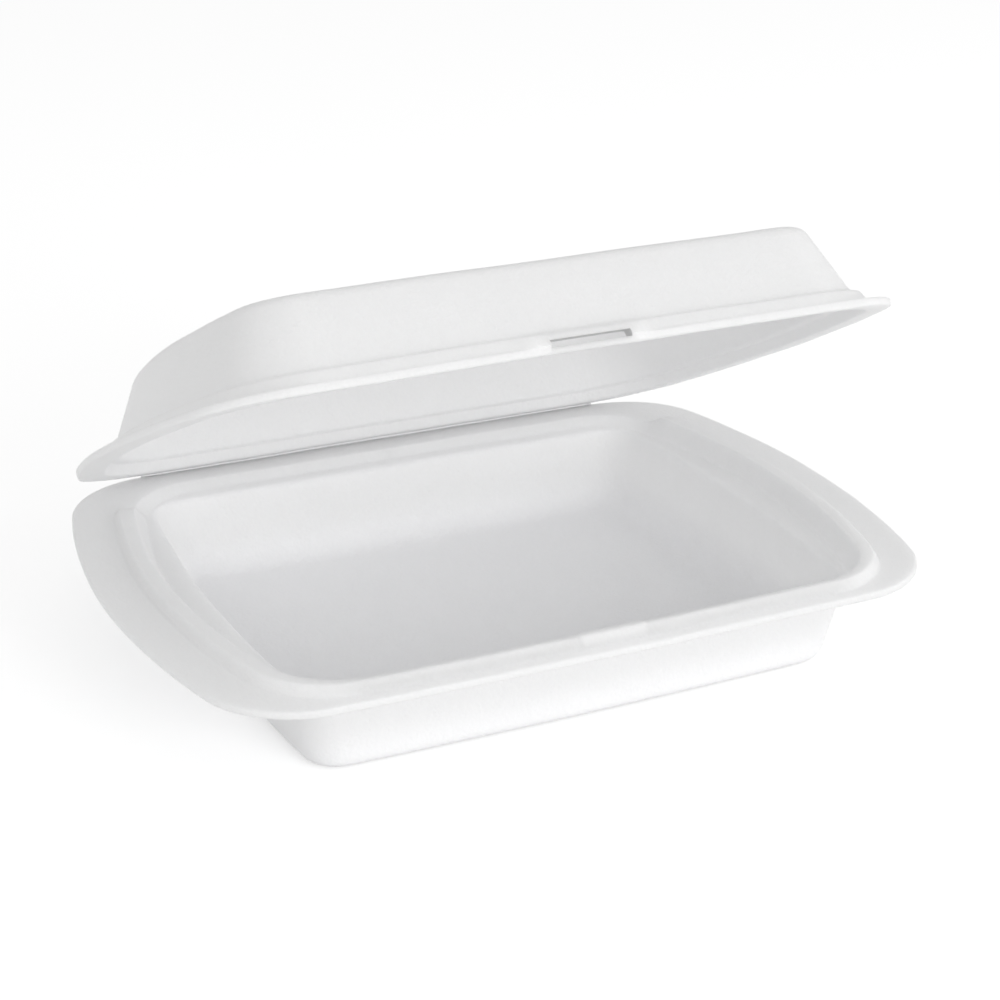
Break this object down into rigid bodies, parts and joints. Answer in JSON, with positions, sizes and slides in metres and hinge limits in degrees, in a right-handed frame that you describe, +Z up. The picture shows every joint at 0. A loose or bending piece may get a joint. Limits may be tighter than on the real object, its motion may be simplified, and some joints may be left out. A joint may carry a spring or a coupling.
{
  "type": "foam clamshell container",
  "caption": "White foam clamshell meal box: base tray with bowed rim and raised bead, domed lid standing part open on a straight rear crease, slot catch at the front.",
  "frame": {"origin": "middle of the flat face that the base stands on, midway between the rim's front and rear edges", "axes": "+X along the rear crease to the right seen from the front, -Y towards the front with the catch, +Z up"},
  "size_m": [0.24, 0.1787, 0.1272],
  "materials": {
    "foam": "white foamed sheet with a faint satin skin and fine bead texture"
  },
  "bodies": {
    "base": {"base": "foam"},
    "lid": {"lid": "foam"}
  },
  "joints": [
    {"name": "lid_hinge", "type": "hinge", "parent": "base", "child": "lid", "pos_m": [0, 0.089, 0.03015], "axis": [-1, 0, 0], "range_deg": [-26.5, 153.5]}
  ]
}
